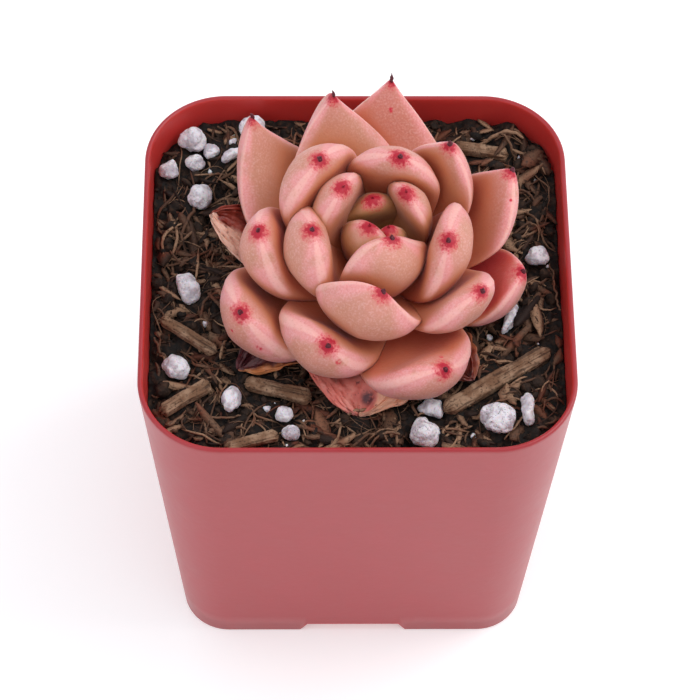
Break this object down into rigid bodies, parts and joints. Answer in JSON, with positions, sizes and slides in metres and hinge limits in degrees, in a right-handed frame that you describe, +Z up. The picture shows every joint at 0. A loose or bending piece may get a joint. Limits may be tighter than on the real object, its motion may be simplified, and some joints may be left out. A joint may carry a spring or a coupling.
{
  "type": "potted echeveria",
  "caption": "Small rosette succulent with thick incurved pointed leaves, growing in coarse potting mix in a square nursery pot that stands on its own foot.",
  "frame": {"origin": "centre of the pot foot, on the surface it stands on", "axes": "+Z up out of the pot; -Y is the front, the side nearest the camera in the picture; +X is the right of the picture"},
  "size_m": [0.064, 0.064, 0.0807],
  "materials": {
    "pot_plastic": "satin",
    "soil": "matt, loose potting mix",
    "stem": "matt, corky",
    "leaf": "waxy, with a fine bloom",
    "heart_leaf": "waxy, with a fine bloom",
    "dry_leaf": "wrinkled, dry",
    "bark": "matt, fibrous",
    "perlite": "matt, pitted"
  },
  "bodies": {
    "root": {"pot": "pot_plastic", "soil": "soil", "stem": "stem", "leaf_1": "leaf", "leaf_2": "leaf", "leaf_3": "leaf", "leaf_4": "leaf", "leaf_5": "leaf", "leaf_6": "leaf", "leaf_7": "leaf", "leaf_8": "leaf", "leaf_9": "leaf", "leaf_10": "leaf", "leaf_11": "leaf", "leaf_12": "leaf", "leaf_13": "leaf", "leaf_14": "leaf", "leaf_15": "leaf", "leaf_16": "heart_leaf", "leaf_17": "heart_leaf", "leaf_18": "heart_leaf", "leaf_19": "heart_leaf", "leaf_20": "heart_leaf", "leaf_21": "heart_leaf", "leaf_22": "heart_leaf", "dry_leaf_front": "dry_leaf", "dry_leaf_left": "dry_leaf", "dry_leaf_right": "dry_leaf", "dry_leaf_near_left": "dry_leaf", "bark_chip_1": "bark", "bark_chip_2": "bark", "bark_chip_3": "bark", "bark_chip_4": "bark", "bark_chip_5": "bark", "bark_chip_6": "bark", "perlite_1": "perlite", "perlite_2": "perlite", "perlite_3": "perlite", "perlite_4": "perlite", "perlite_5": "perlite", "perlite_6": "perlite", "perlite_7": "perlite", "perlite_8": "perlite", "perlite_9": "perlite", "perlite_10": "perlite", "perlite_11": "perlite", "perlite_12": "perlite", "perlite_13": "perlite", "perlite_14": "perlite", "perlite_15": "perlite", "perlite_16": "perlite", "perlite_17": "perlite", "perlite_18": "perlite"}
  },
  "joints": []
}
